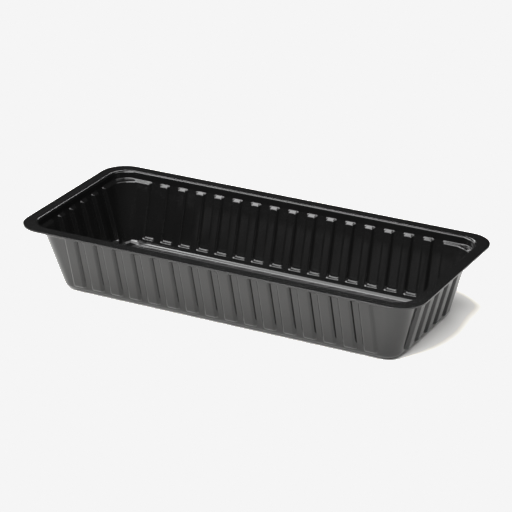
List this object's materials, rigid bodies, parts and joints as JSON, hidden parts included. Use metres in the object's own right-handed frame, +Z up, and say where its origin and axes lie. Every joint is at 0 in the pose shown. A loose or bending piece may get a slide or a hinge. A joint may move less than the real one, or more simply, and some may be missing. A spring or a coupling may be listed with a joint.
{
  "type": "food tray",
  "caption": "Empty rectangular black plastic food tray with a flat flange, ribbed walls that lean in, and a flat base.",
  "frame": {"origin": "centre of the base's underside", "axes": "+X along the tray, +Y across it, +Z up out of its opening"},
  "size_m": [0.265, 0.12, 0.0445],
  "materials": {
    "black_plastic": "satin gloss"
  },
  "bodies": {
    "root": {"tray": "black_plastic"}
  },
  "joints": []
}
